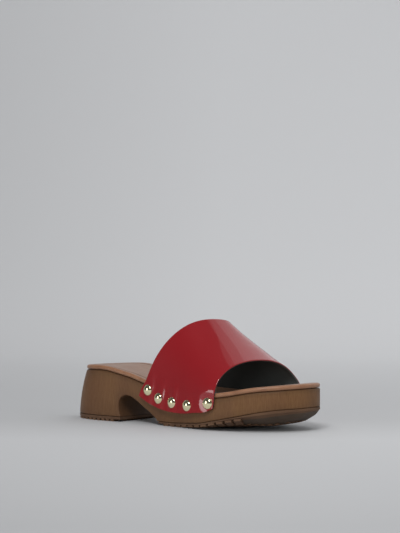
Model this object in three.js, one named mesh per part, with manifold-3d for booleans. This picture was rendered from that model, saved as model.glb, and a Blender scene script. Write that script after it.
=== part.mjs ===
// Heeled slide sandal for the right foot: a moulded platform with a block heel, a leather-covered
// insole, one wide patent band over the instep nailed to both sides, and ribbed rubber underneath.
// Millimetres. +X points to the toe, +Y to the wearer's left (the inner side), +Z up.
import * as THREE from 'three';
import { mergeVertices } from 'three/addons/utils/BufferGeometryUtils.js';
import Module from 'manifold-3d';

const wasm = await Module();
wasm.setup();

// Length, widths and heights of the platform
const LENGTH = 252;
const HEEL_WIDTH = 66;
const WAIST_WIDTH = 62;
const BALL_WIDTH = 90.5;
const HEEL_HEIGHT = 46.7;
const BALL_HEIGHT = 26.1;
const TOE_HEIGHT = 37.2;
const TOE_SPRING = 17.4;
const EDGE_ROUND = 1.6;

// Heel block and the arch behind the ball
const HEEL_FLARE = 10.5;
const HEEL_SIDE_FLARE = 0.7;
const BREAST = 62.7;
const ARCH_HEIGHT = 25;
const ARCH_SPAN = 54.3;

// Rubber under the heel and the forefoot
const HEEL_RUBBER = 4.5;
const BAND_RUBBER = 3.1;
const SOLE_RUBBER = 4;
const RUBBER_CHAMFER = 0.8;
const NOTCH_WIDTH = 1.7;
const NOTCH_SINK = 0.2;
const NOTCH_REACH = 9;
const HEEL_PITCH = 5.8;
const SOLE_PITCH = 8.4;

// Insole board with its rolled leather edge
const INSOLE_THICKNESS = 4.45;
const ROLL_WIDTH = 2.2;
const HEEL_CUP = 1.4;
const CUP_LENGTH = 88;

// Band over the foot
const WALL = 1.8;
const INSTEP_RISE = 64.7;
const TOE_RISE = 24.1;
const RIDGE_SHIFT = 12;
const SKIRT = 14;
const FULLNESS_OUTER = 1.75;
const FULLNESS_INNER = 1.95;

// Dome-headed nails
const DOME_RADIUS = 5.2;
const DOME_HEIGHT = 3;
const SHANK_RADIUS = 0.8;
const SHANK_LENGTH = 11;

// Clearances between pieces that meet, and around the nails
const GAP = 0.3;
const HOLE_CLEARANCE = 0.3;

// Half widths of the platform's top, each as a share of the width that it follows
const OUTLINE = [
  { at: 0, outer: 0, inner: 0, of: HEEL_WIDTH },
  { at: 0.012, outer: 0.182, inner: 0.182, of: HEEL_WIDTH },
  { at: 0.04, outer: 0.333, inner: 0.333, of: HEEL_WIDTH },
  { at: 0.087, outer: 0.447, inner: 0.447, of: HEEL_WIDTH },
  { at: 0.167, outer: 0.5, inner: 0.5, of: HEEL_WIDTH },
  { at: 0.278, outer: 0.5, inner: 0.47, of: HEEL_WIDTH },
  { at: 0.397, outer: 0.548, inner: 0.452, of: WAIST_WIDTH },
  { at: 0.516, outer: 0.42, inner: 0.331, of: BALL_WIDTH },
  { at: 0.615, outer: 0.475, inner: 0.409, of: BALL_WIDTH },
  { at: 0.694, outer: 0.508, inner: 0.475, of: BALL_WIDTH },
  { at: 0.762, outer: 0.497, inner: 0.503, of: BALL_WIDTH },
  { at: 0.833, outer: 0.453, inner: 0.492, of: BALL_WIDTH },
  { at: 0.897, outer: 0.376, inner: 0.442, of: BALL_WIDTH },
  { at: 0.952, outer: 0.254, inner: 0.343, of: BALL_WIDTH },
  { at: 0.988, outer: 0.11, inner: 0.221, of: BALL_WIDTH },
  { at: 1, outer: 0, inner: 0.11, of: BALL_WIDTH },
];

// Top line of the platform: how far it climbs from the ball to the heel, and from the ball to the toe
const TOP_LINE = [
  { at: 0, heel: 1, toe: 0 },
  { at: 0.139, heel: 1.053, toe: 0 },
  { at: 0.278, heel: 0.791, toe: 0 },
  { at: 0.397, heel: 0.398, toe: 0 },
  { at: 0.516, heel: 0.092, toe: 0 },
  { at: 0.635, heel: 0, toe: 0 },
  { at: 0.754, heel: 0, toe: 0.27 },
  { at: 0.873, heel: 0, toe: 0.73 },
  { at: 1, heel: 0, toe: 1 },
];

// Underside of the forefoot as shares of the toe spring, at its rim and along its middle
const UNDERSIDE = [
  { at: 0.4, rim: 0, middle: 0 },
  { at: 0.5, rim: 0, middle: 0 },
  { at: 0.583, rim: 0.06, middle: 0 },
  { at: 0.655, rim: 0.135, middle: 0 },
  { at: 0.718, rim: 0.3, middle: 0.05 },
  { at: 0.786, rim: 0.495, middle: 0.12 },
  { at: 0.849, rim: 0.69, middle: 0.205 },
  { at: 0.897, rim: 0.83, middle: 0.29 },
  { at: 0.944, rim: 0.93, middle: 0.47 },
  { at: 1, rim: 1, middle: 0.84 },
];
const FLAT_SHARE = 0.35;
const CROWN_POWER = 2.2;

// Arch from the heel's breast to the ball, as shares of its span and height
const ARCH = [
  { along: -0.028, rise: 0.42 },
  { along: -0.03, rise: 0.68 },
  { along: 0, rise: 0.87 },
  { along: 0.06, rise: 0.968 },
  { along: 0.135, rise: 1 },
  { along: 0.223, rise: 0.976 },
  { along: 0.361, rise: 0.84 },
  { along: 0.54, rise: 0.608 },
  { along: 0.68, rise: 0.436 },
  { along: 0.803, rise: 0.256 },
  { along: 0.908, rise: 0.12 },
  { along: 1, rise: 0 },
];

// Foot form over the insole: its height as shares of the rise at the instep and at the toes, and
// how far its ridge lies towards the inner side
const RIDGE = [
  { at: 0.34, instep: 1.728, toe: 0, inward: 0.88 },
  { at: 0.38, instep: 1.625, toe: 0, inward: 0.91 },
  { at: 0.45, instep: 1.44, toe: 0, inward: 0.95 },
  { at: 0.52, instep: 1.245, toe: 0, inward: 0.99 },
  { at: 0.603, instep: 1, toe: 0, inward: 1.04 },
  { at: 0.68, instep: 0.5, toe: 0.7, inward: 1.09 },
  { at: 0.754, instep: 0.15, toe: 1, inward: 1.13 },
  { at: 0.799, instep: 0, toe: 1, inward: 1.16 },
  { at: 0.86, instep: 0, toe: 0.45, inward: 1.2 },
];

// Back and front edges of the band, by the turn from its outer base over the ridge to its inner base
const BAND_EDGES = [
  { turn: -25, back: 0.353, front: 0.728 },
  { turn: 0, back: 0.383, front: 0.733 },
  { turn: 30, back: 0.463, front: 0.744 },
  { turn: 60, back: 0.551, front: 0.772 },
  { turn: 78, back: 0.59, front: 0.79 },
  { turn: 97, back: 0.605, front: 0.803 },
  { turn: 120, back: 0.585, front: 0.811 },
  { turn: 150, back: 0.507, front: 0.819 },
  { turn: 180, back: 0.388, front: 0.834 },
  { turn: 205, back: 0.352, front: 0.83 },
];

// Drop of the band's lower edge below the platform's top, between its back and front corners
const SKIRT_EDGE = [
  { along: 0, drop: 0.8 },
  { along: 0.12, drop: 0.97 },
  { along: 0.3, drop: 1.04 },
  { along: 0.5, drop: 1 },
  { along: 0.65, drop: 0.92 },
  { along: 0.8, drop: 0.8 },
  { along: 0.93, drop: 0.76 },
  { along: 1, drop: 0.6 },
];

// Nails: place between the band's corners, and depth below the platform's top as a share of the skirt
const NAILS = [
  { along: 0.12, drop: 0.2 },
  { along: 0.27, drop: 0.435 },
  { along: 0.462, drop: 0.42 },
  { along: 0.677, drop: 0.41 },
  { along: 0.94, drop: 0.26 },
];

// A smooth line through table rows that never overshoots them
function lineThrough(rows, from, to) {
  const x = rows.map(from);
  const y = rows.map(to);
  const rise = (i) => (y[i + 1] - y[i]) / (x[i + 1] - x[i]);
  const slope = x.map((_, i) => {
    if (i === 0) return rise(0);
    if (i === x.length - 1) return rise(i - 1);
    const before = rise(i - 1);
    const after = rise(i);
    return before * after > 0 ? (2 * before * after) / (before + after) : 0;
  });
  return (at) => {
    const place = THREE.MathUtils.clamp(at, x[0], x[x.length - 1]);
    const found = x.findIndex((value) => value >= place);
    const i = Math.max(found - 1, 0);
    const span = x[i + 1] - x[i];
    const t = (place - x[i]) / span;
    const ends = y[i] * (1 + 2 * t) * (1 - t) ** 2 + y[i + 1] * t * t * (3 - 2 * t);
    const bends = slope[i] * t * (1 - t) ** 2 - slope[i + 1] * t * t * (1 - t);
    return ends + bends * span;
  };
}

// The platform's outline as one closed smooth curve: heel back, outer side, toe, inner side.
// A row number along it counts the rows of the outline table.
const outerPoints = OUTLINE.map((row) => new THREE.Vector3(row.at * LENGTH, -row.outer * row.of, 0));
const innerPoints = OUTLINE.map((row) => new THREE.Vector3(row.at * LENGTH, row.inner * row.of, 0));
const loop = [...outerPoints, ...innerPoints.slice(1).reverse()];
const outlineCurve = new THREE.CatmullRomCurve3(loop, true, 'centripetal');
const LAST_ROW = OUTLINE.length - 1;
const SAMPLE_STEP = 1 / 8;

function outlinePoint(side, row, inset = 0) {
  const share = ((side < 0 ? row : loop.length - row) % loop.length) / loop.length;
  const tangent = outlineCurve.getTangent(share);
  const inward = new THREE.Vector3(-tangent.y, tangent.x, 0);
  return outlineCurve.getPoint(share).addScaledVector(inward, inset);
}

// Half width of the platform at a distance from the heel back, on the outer (-1) or inner (1) side
function sideLine(side) {
  const samples = [];
  for (let row = 0; row <= LAST_ROW; row += SAMPLE_STEP) {
    const point = outlinePoint(side, row);
    const last = samples[samples.length - 1];
    if (!last || point.x > last.x) samples.push({ x: point.x, y: Math.abs(point.y) });
  }
  return lineThrough(samples, (s) => s.x, (s) => s.y);
}
const halfWidth = { '-1': sideLine(-1), 1: sideLine(1) };

function sideSlope(side, x) {
  const reach = LENGTH / 63;
  return (halfWidth[side](x + reach) - halfWidth[side](x - reach)) / (2 * reach);
}

// Distance from the middle line to a face that stands clear of the platform's side, square to it
const besideSide = (side, x, clear) => halfWidth[side](x) + clear * Math.hypot(1, sideSlope(side, x));

const along = (row) => row.at * LENGTH;
const heelClimb = lineThrough(TOP_LINE, along, (row) => row.heel * (HEEL_HEIGHT - BALL_HEIGHT));
const toeClimb = lineThrough(TOP_LINE, along, (row) => row.toe * (TOE_HEIGHT - BALL_HEIGHT));
const topLine = (x) => BALL_HEIGHT + heelClimb(x) + toeClimb(x);
const rimLine = lineThrough(UNDERSIDE, along, (row) => row.rim * TOE_SPRING);
const middleLine = lineThrough(UNDERSIDE, along, (row) => row.middle * TOE_SPRING);
const ridgeRise = lineThrough(RIDGE, along, (row) => row.instep * INSTEP_RISE + row.toe * TOE_RISE);
const ridgeShift = lineThrough(RIDGE, along, (row) => row.inward * RIDGE_SHIFT);
const insoleTop = (x) => topLine(x) + INSOLE_THICKNESS;

// Underside of the forefoot rubber, and the face between it and the platform
const crown = (share) => Math.max(0, (Math.abs(share) - FLAT_SHARE) / (1 - FLAT_SHARE)) ** CROWN_POWER;
const underside = (x, share) => THREE.MathUtils.lerp(middleLine(x), rimLine(x), crown(share));
const rubberTop = (x, share) => underside(x, share) +
  THREE.MathUtils.lerp(SOLE_RUBBER, BAND_RUBBER, crown(share));

// Closed shell through rings of points; each end is closed by joining the ring's two halves
function loft(rings) {
  const size = rings[0].length;
  const last = size - 1;
  const positions = rings.flat().flatMap((point) => point.toArray());
  const faces = [];
  const corner = (ring, k) => ring * size + (k % size);
  for (let ring = 0; ring < rings.length - 1; ring += 1) {
    for (let k = 0; k < size; k += 1) {
      faces.push([corner(ring, k), corner(ring + 1, k + 1), corner(ring + 1, k)]);
      faces.push([corner(ring, k), corner(ring, k + 1), corner(ring + 1, k + 1)]);
    }
  }
  for (const [ring, turn] of [[0, true], [rings.length - 1, false]]) {
    for (let k = 0; 2 * k + 1 < last; k += 1) {
      const quad = [k, k + 1, last - k - 1, last - k].map((place) => corner(ring, place));
      if (turn) quad.reverse();
      faces.push([quad[0], quad[1], quad[2]], [quad[0], quad[2], quad[3]]);
    }
  }
  const geometry = new THREE.BufferGeometry();
  geometry.setAttribute('position', new THREE.Float32BufferAttribute(positions, 3));
  geometry.setIndex(faces.flat());
  return geometry;
}

// Solid for cutting and joining, with doubled corners merged and empty faces dropped
function solid(geometry) {
  geometry.deleteAttribute('normal');
  geometry.deleteAttribute('uv');
  const merged = mergeVertices(geometry, 1e-4);
  const index = merged.index.array;
  const place = merged.attributes.position;
  const corners = [0, 1, 2].map(() => new THREE.Vector3());
  const kept = [];
  let volume = 0;
  for (let i = 0; i < index.length; i += 3) {
    const [a, b, c] = index.slice(i, i + 3);
    if (a === b || b === c || a === c) continue;
    kept.push(a, b, c);
    corners.forEach((corner, k) => corner.fromBufferAttribute(place, index[i + k]));
    volume += corners[0].dot(corners[1].cross(corners[2]));
  }
  if (volume < 0) kept.reverse();
  return new wasm.Manifold(new wasm.Mesh({
    numProp: 3,
    vertProperties: new Float32Array(place.array),
    triVerts: new Uint32Array(kept),
  }));
}

function geometryOf(body) {
  const mesh = body.getMesh();
  const geometry = new THREE.BufferGeometry();
  geometry.setAttribute('position', new THREE.Float32BufferAttribute(mesh.vertProperties, 3));
  geometry.setIndex([...mesh.triVerts]);
  geometry.computeVertexNormals();
  return geometry;
}

const shoe = new THREE.Group();
function addPiece(name, body, color, roughness, metalness) {
  const material = new THREE.MeshStandardMaterial({ color, roughness, metalness });
  const mesh = new THREE.Mesh(geometryOf(body), material);
  mesh.name = name;
  shoe.add(mesh);
}

function valuesBetween(first, last, step) {
  const values = [];
  for (let value = first; value <= last + 1e-6; value += step) values.push(value);
  return values;
}

// Rows of the outline at which a sole layer's sections stand: those over a stretch, and one past it
const ROW_STEP = 0.5;
const ALL_ROWS = valuesBetween(0, LAST_ROW, ROW_STEP);
function rowsOver(low, high) {
  const x = (row) => outlinePoint(-1, THREE.MathUtils.clamp(row, 0, LAST_ROW)).x;
  return ALL_ROWS.filter((row) => x(row + ROW_STEP) > low && x(row - ROW_STEP) < high);
}

// One ring of a sole layer: half of it, from the top round the rim to the bottom, is given as
// { share, inset, z } for each side, and its points are spread back at the flared heel
function soleRing(row, halfSection) {
  const place = (side, { share, inset = 0, z }) => {
    const edge = outlinePoint(side, row, inset);
    const middle = edge.clone().add(outlinePoint(-side, row, inset)).multiplyScalar(0.5);
    const point = middle.lerp(edge, share);
    point.z = z(point.x, share);
    const flare = Math.max(0, 1 - point.x / BREAST) * Math.max(0, 1 - (point.z / HEEL_HEIGHT) ** 2);
    point.x -= HEEL_FLARE * flare;
    point.y *= 1 + (HEEL_SIDE_FLARE * flare) / (HEEL_WIDTH / 2);
    return point;
  };
  const outer = halfSection.map((spot) => place(-1, spot));
  const inner = halfSection.map((spot) => place(1, spot));
  return [...outer, ...inner.reverse()];
}

const soleLayer = (rows, halfSection) => loft(rows.map((row) => soleRing(row, halfSection)));

// Arch under the waist: a wedge of air from the heel's breast to the ball, right through the sole
function archCutter() {
  const points = ARCH.map(({ along: share, rise }) =>
    new THREE.Vector2(BREAST + share * ARCH_SPAN, rise * ARCH_HEIGHT));
  const side = new THREE.Shape();
  side.moveTo(BREAST, -HEEL_RUBBER);
  side.lineTo(BREAST, 0);
  points.forEach((point) => side.lineTo(point.x, point.y));
  side.lineTo(BREAST + ARCH_SPAN, -HEEL_RUBBER);
  const width = 2 * BALL_WIDTH;
  const cutter = new THREE.ExtrudeGeometry(side, { depth: width, bevelEnabled: false });
  cutter.rotateX(Math.PI / 2);
  cutter.translate(0, width / 2, 0);
  return solid(cutter);
}

// Bar that cuts a notch or a nail hole between two points
function bar(from, to, radius, sides) {
  const direction = to.clone().sub(from);
  const cylinder = new THREE.CylinderGeometry(radius, radius, direction.length(), sides);
  const turn = new THREE.Quaternion().setFromUnitVectors(new THREE.Vector3(0, 1, 0), direction.normalize());
  cylinder.applyQuaternion(turn);
  const middle = from.clone().add(to).multiplyScalar(0.5);
  cylinder.translate(middle.x, middle.y, middle.z);
  return solid(cylinder);
}

// Foot form over the insole: turn 0 is the outer base, a quarter turn the ridge, a half turn the
// inner base. Past both bases the form drops straight down along the platform's sides.
const bandBack = lineThrough(BAND_EDGES, (row) => row.turn, (row) => row.back * LENGTH);
const bandFront = lineThrough(BAND_EDGES, (row) => row.turn, (row) => row.front * LENGTH);
const skirtDrop = lineThrough(SKIRT_EDGE, (row) => row.along, (row) => row.drop * SKIRT);
const HALF_TURN = 180;
const RIDGE_TURN = HALF_TURN / 2;
const SKIRT_TURN = -BAND_EDGES[0].turn;
const TURN_STEP = HALF_TURN / 24;
const BAND_STEPS = 12;

function bandOuter(turn, share) {
  const side = turn < RIDGE_TURN ? -1 : 1;
  const x = THREE.MathUtils.lerp(bandBack(turn), bandFront(turn), share);
  const base = besideSide(side, x, GAP + WALL);
  const past = Math.max(0, -turn, turn - HALF_TURN) / SKIRT_TURN;
  if (past > 0) {
    const drop = INSOLE_THICKNESS + skirtDrop(share);
    return new THREE.Vector3(x, side * base, insoleTop(x) - past * drop);
  }
  const shift = ridgeShift(x);
  const fullness = side < 0 ? FULLNESS_OUTER : FULLNESS_INNER;
  const angle = THREE.MathUtils.degToRad(turn);
  const spread = Math.abs(Math.cos(angle)) ** (2 / fullness);
  const climb = Math.max(0, Math.sin(angle)) ** (2 / fullness);
  return new THREE.Vector3(x, shift + side * (base - side * shift) * spread,
    insoleTop(x) + ridgeRise(x) * climb);
}

// Direction from the band's outer face into the wall
function bandInward(turn, share) {
  const step = 0.5;
  const low = Math.max(-SKIRT_TURN, turn - step);
  const high = Math.min(HALF_TURN + SKIRT_TURN, turn + step);
  const across = bandOuter(high, share).sub(bandOuter(low, share));
  const back = bandOuter(turn, Math.max(0, share - 0.01));
  const lengthwise = bandOuter(turn, Math.min(1, share + 0.01)).sub(back);
  return across.cross(lengthwise).normalize();
}

function bandShell() {
  const skirtTurns = [0, 0.5].map((share) => (share - 1) * SKIRT_TURN);
  const overTurns = valuesBetween(0, HALF_TURN, TURN_STEP);
  const farTurns = skirtTurns.map((turn) => HALF_TURN - turn).reverse();
  const turns = [...skirtTurns, ...overTurns, ...farTurns];
  const shares = valuesBetween(0, 1, 1 / BAND_STEPS);
  const rings = turns.map((turn) => {
    const outer = shares.map((share) => bandOuter(turn, share));
    const inner = shares.map((share, k) =>
      outer[k].clone().addScaledVector(bandInward(turn, share), WALL));
    return [...outer, ...inner.reverse()];
  });
  return solid(loft(rings));
}

// Place and direction of each nail on the band's outer face
function nailSeats() {
  const seats = [];
  for (const [side, name] of [[-1, 'outer'], [1, 'inner']]) {
    const cornerTurn = side < 0 ? -SKIRT_TURN : HALF_TURN + SKIRT_TURN;
    NAILS.forEach((nail, k) => {
      const x = THREE.MathUtils.lerp(bandBack(cornerTurn), bandFront(cornerTurn), nail.along);
      const out = new THREE.Vector3(-sideSlope(side, x), side, 0).normalize();
      const y = side * besideSide(side, x, GAP + WALL + GAP);
      const seat = new THREE.Vector3(x, y, topLine(x) - nail.drop * SKIRT);
      seats.push({ name: `nail_${name}_${k + 1}`, seat, out });
    });
  }
  return seats;
}

function nail() {
  const dome = [0, 0.35, 0.65, 0.9].map((share) => {
    const angle = (share * Math.PI) / 2;
    return new THREE.Vector2(DOME_RADIUS * Math.sin(angle), DOME_HEIGHT * Math.cos(angle));
  });
  const profile = [
    new THREE.Vector2(0, -SHANK_LENGTH),
    new THREE.Vector2(SHANK_RADIUS, -SHANK_LENGTH + SHANK_RADIUS),
    new THREE.Vector2(SHANK_RADIUS, 0),
    new THREE.Vector2(DOME_RADIUS, 0),
    ...dome.reverse(),
  ];
  return new THREE.LatheGeometry(profile, 12);
}

const seats = nailSeats();
const arch = archCutter();

function nailHole({ seat, out }) {
  const inner = seat.clone().addScaledVector(out, -SHANK_LENGTH - HOLE_CLEARANCE);
  const outer = seat.clone().addScaledVector(out, DOME_HEIGHT);
  return bar(outer, inner, SHANK_RADIUS + HOLE_CLEARANCE, 8);
}
const holes = seats.map(nailHole);

// Moulded platform and block heel in one piece, with the arch cut through under the waist
const woodBottom = (x, share) => (x < BREAST + ARCH_SPAN / 2
  ? HEEL_RUBBER + GAP
  : rubberTop(x, share) + GAP);
const woodSide = (part) => (x, share) =>
  THREE.MathUtils.lerp(topLine(x) - EDGE_ROUND, woodBottom(x, share), part);
const woodSection = [
  { share: 0.5, inset: EDGE_ROUND, z: topLine },
  { share: 1, inset: EDGE_ROUND, z: topLine },
  { share: 1, inset: 0.3 * EDGE_ROUND, z: (x) => topLine(x) - 0.3 * EDGE_ROUND },
  { share: 1, z: woodSide(0) },
  { share: 1, z: woodSide(0.3) },
  { share: 1, z: woodSide(0.6) },
  { share: 1, z: woodSide(1) },
  { share: 0.9, z: woodBottom },
  { share: 0.75, z: woodBottom },
  { share: FLAT_SHARE, z: woodBottom },
];
let platform = solid(soleLayer(ALL_ROWS, woodSection)).subtract(arch);
for (const hole of holes) platform = platform.subtract(hole);
addPiece('platform', platform, '#5f4530', 0.6, 0);

// Rubber under the heel: a flat slab with a rounded lower rim, nicked all round
const heelSection = [
  { share: 0.5, z: () => HEEL_RUBBER },
  { share: 1, z: () => HEEL_RUBBER },
  { share: 1, z: () => RUBBER_CHAMFER },
  { share: 1, inset: 0.3 * RUBBER_CHAMFER, z: () => 0.3 * RUBBER_CHAMFER },
  { share: 1, inset: RUBBER_CHAMFER, z: () => 0 },
  { share: 0.5, inset: RUBBER_CHAMFER, z: () => 0 },
];
const RIM_SPOT = 2;
const heelRows = rowsOver(0, BREAST);
let heelPiece = solid(soleLayer(heelRows, heelSection)).subtract(arch);
const heelRim = heelRows.slice(0, -1).flatMap((row) => {
  const ring = soleRing(row, heelSection);
  return [{ row, point: ring[RIM_SPOT] }, { row: -row, point: ring[ring.length - 1 - RIM_SPOT] }];
});
heelRim.sort((a, b) => a.row - b.row);
const rimCurve = new THREE.CatmullRomCurve3(heelRim.map((spot) => spot.point), false, 'centripetal');
const heelNotches = Math.floor(rimCurve.getLength() / HEEL_PITCH);
for (let k = 0; k <= heelNotches; k += 1) {
  const point = rimCurve.getPointAt(k / heelNotches);
  const tangent = rimCurve.getTangentAt(k / heelNotches);
  if (point.x > BREAST - NOTCH_WIDTH) continue;
  point.z = -NOTCH_SINK;
  const inward = new THREE.Vector3(-tangent.y, tangent.x, 0).normalize();
  if (inward.x * (BREAST / 2 - point.x) - inward.y * point.y < 0) inward.negate();
  const from = point.clone().addScaledVector(inward, -NOTCH_WIDTH);
  const to = point.clone().addScaledVector(inward, NOTCH_REACH / 2);
  heelPiece = heelPiece.subtract(bar(from, to, NOTCH_WIDTH / 2, 4));
}
addPiece('heel_rubber', heelPiece, '#3b2c22', 0.75, 0);

// Rubber under the forefoot: crowned, rising with the toe spring, nicked along both rims
const soleSection = [
  { share: FLAT_SHARE, z: rubberTop },
  { share: 0.75, z: rubberTop },
  { share: 0.9, z: rubberTop },
  { share: 1, z: rubberTop },
  { share: 1, z: (x) => rimLine(x) + RUBBER_CHAMFER },
  { share: 1, inset: RUBBER_CHAMFER, z: rimLine },
  { share: 0.9, inset: RUBBER_CHAMFER, z: underside },
  { share: 0.75, inset: RUBBER_CHAMFER, z: underside },
  { share: 0.55, inset: RUBBER_CHAMFER, z: underside },
  { share: FLAT_SHARE, inset: RUBBER_CHAMFER, z: underside },
];
const SOLE_BACK = BREAST + 0.8 * ARCH_SPAN;
let sole = solid(soleLayer(rowsOver(SOLE_BACK, LENGTH), soleSection)).subtract(arch);
const soleStart = BREAST + ARCH_SPAN + SOLE_PITCH;
const soleNotches = Math.floor((0.95 * LENGTH - soleStart) / SOLE_PITCH);
for (const side of [-1, 1]) {
  for (let k = 0; k <= soleNotches; k += 1) {
    const x = soleStart + k * SOLE_PITCH;
    const width = halfWidth[side](x);
    const share = 1 - NOTCH_REACH / width;
    const rim = new THREE.Vector3(x, side * width, rimLine(x) - NOTCH_SINK);
    const inside = new THREE.Vector3(x, side * share * width, underside(x, share) - NOTCH_SINK);
    const outside = rim.clone().add(rim.clone().sub(inside).multiplyScalar(0.2));
    sole = sole.subtract(bar(outside, inside, NOTCH_WIDTH / 2, 4));
  }
}
addPiece('forefoot_rubber', sole, '#3b2c22', 0.75, 0);

// Insole: a board with leather rolled over its edge, cupped a little under the heel
const cupAlong = (x) => Math.max(0, 1 - ((2 * x) / CUP_LENGTH - 1) ** 2);
const footbed = (x, share) => insoleTop(x) - HEEL_CUP * (1 - share * share) * cupAlong(x);
const insoleUp = (part) => (x) => topLine(x) + GAP + part * (INSOLE_THICKNESS - GAP);
const insoleSection = [
  { share: 0.25, inset: ROLL_WIDTH, z: footbed },
  { share: 0.55, inset: ROLL_WIDTH, z: footbed },
  { share: 0.8, inset: ROLL_WIDTH, z: footbed },
  { share: 1, inset: ROLL_WIDTH, z: insoleTop },
  { share: 1, inset: 0.36 * ROLL_WIDTH, z: insoleUp(0.84) },
  { share: 1, z: insoleUp(0.5) },
  { share: 1, inset: 0.18 * ROLL_WIDTH, z: insoleUp(0.15) },
  { share: 1, inset: 0.64 * ROLL_WIDTH, z: insoleUp(0) },
  { share: 0.4, inset: 0.64 * ROLL_WIDTH, z: insoleUp(0) },
];
const insole = solid(soleLayer(ALL_ROWS, insoleSection));
addPiece('insole', insole, '#9b6b4c', 0.6, 0);

// Band: one hollow shell over the foot, open at the back, at the toe and underneath
let band = bandShell();
for (const hole of holes) band = band.subtract(hole);
addPiece('upper_band', band, '#8a2429', 0.2, 0);

// Nails through the band into the platform's sides
for (const { name, seat, out } of seats) {
  const turn = new THREE.Quaternion().setFromUnitVectors(new THREE.Vector3(0, 1, 0), out);
  const shape = nail();
  shape.applyQuaternion(turn);
  shape.translate(seat.x, seat.y, seat.z);
  addPiece(name, solid(shape), '#d8bd7a', 0.2, 1);
}

// The origin is under the middle of the whole sandal, on the floor
const extent = new THREE.Box3().setFromObject(shoe);
const centre = extent.getCenter(new THREE.Vector3());
shoe.position.set(-centre.x, -centre.y, -extent.min.z);

export default shoe;
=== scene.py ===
# Heeled slide sandal for the right foot: a moulded platform with a wood finish, a leather insole,
# one patent band over the instep held by dome nails, and ribbed rubber under heel and forefoot.
import math

import bmesh
import bpy
import numpy as np
from mathutils import Matrix, Vector


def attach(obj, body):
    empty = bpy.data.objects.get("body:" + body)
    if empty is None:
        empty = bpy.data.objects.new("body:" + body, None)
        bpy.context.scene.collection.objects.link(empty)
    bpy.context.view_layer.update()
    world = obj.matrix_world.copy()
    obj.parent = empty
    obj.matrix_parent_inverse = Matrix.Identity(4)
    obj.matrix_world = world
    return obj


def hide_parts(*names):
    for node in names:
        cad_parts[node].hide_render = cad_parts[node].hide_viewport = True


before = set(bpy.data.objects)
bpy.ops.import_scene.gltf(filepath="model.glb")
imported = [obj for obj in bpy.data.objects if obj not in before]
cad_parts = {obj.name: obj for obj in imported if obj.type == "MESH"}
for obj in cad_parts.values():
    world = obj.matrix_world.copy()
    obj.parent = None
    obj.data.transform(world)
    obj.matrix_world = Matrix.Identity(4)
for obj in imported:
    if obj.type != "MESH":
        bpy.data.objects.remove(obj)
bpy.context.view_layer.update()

# Platform: one moulding with its block heel, the arch scooped out under the waist and the toe
# sprung up. Its sides carry a moulded wood grain that runs mostly upright; painted shade darkens
# the top edge under the insole, the foot of the sides, the underside and the arch.
LENGTH, HEEL_WIDTH, WAIST_WIDTH, BALL_WIDTH = 252, 66, 62, 90.5
HEEL_HEIGHT, BALL_HEIGHT, TOE_HEIGHT, TOE_SPRING = 46.7, 26.1, 37.2, 17.4
EDGE_ROUND, ARCH_ROUND, GAP = 1.6, 0.9, 0.3
HEEL_FLARE, HEEL_SIDE_FLARE, BREAST, ARCH_HEIGHT, ARCH_SPAN = 10.5, 0.7, 62.7, 25, 54.3
HEEL_RUBBER, BAND_RUBBER, SOLE_RUBBER, FLAT_SHARE, CROWN_POWER, TIP_ROUND = 4.5, 3.1, 4, 0.35, 2.2, 12
ORIGIN = np.array([-120.752, 0.307, 0])

# at, outer half width, inner half width, the width they follow
OUTLINE = [
    (0, 0, 0, HEEL_WIDTH), (0.012, 0.182, 0.182, HEEL_WIDTH), (0.04, 0.333, 0.333, HEEL_WIDTH),
    (0.087, 0.447, 0.447, HEEL_WIDTH), (0.167, 0.5, 0.5, HEEL_WIDTH), (0.278, 0.5, 0.47, HEEL_WIDTH),
    (0.397, 0.548, 0.452, WAIST_WIDTH), (0.516, 0.42, 0.331, BALL_WIDTH), (0.615, 0.475, 0.409, BALL_WIDTH),
    (0.694, 0.508, 0.475, BALL_WIDTH), (0.762, 0.497, 0.503, BALL_WIDTH), (0.833, 0.453, 0.492, BALL_WIDTH),
    (0.897, 0.376, 0.442, BALL_WIDTH), (0.952, 0.254, 0.343, BALL_WIDTH), (0.988, 0.11, 0.221, BALL_WIDTH),
    (1, 0, 0.11, BALL_WIDTH),
]
# at, climb to the heel, climb to the toe
TOP_LINE = [(0, 1, 0), (0.139, 1.053, 0), (0.278, 0.791, 0), (0.397, 0.398, 0), (0.516, 0.092, 0),
            (0.635, 0, 0), (0.754, 0, 0.27), (0.873, 0, 0.73), (1, 0, 1)]
# at, lift of the rim, lift of the middle
UNDERSIDE = [(0.4, 0, 0), (0.5, 0, 0), (0.583, 0.06, 0), (0.655, 0.135, 0), (0.718, 0.3, 0.05),
             (0.786, 0.495, 0.12), (0.849, 0.69, 0.205), (0.897, 0.83, 0.29), (0.944, 0.93, 0.47),
             (1, 1, 0.84)]
# along the span, rise
ARCH = [(-0.028, 0.42), (-0.03, 0.68), (0, 0.87), (0.06, 0.968), (0.135, 1), (0.223, 0.976), (0.361, 0.84),
        (0.54, 0.608), (0.68, 0.436), (0.803, 0.256), (0.908, 0.12)]


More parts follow.
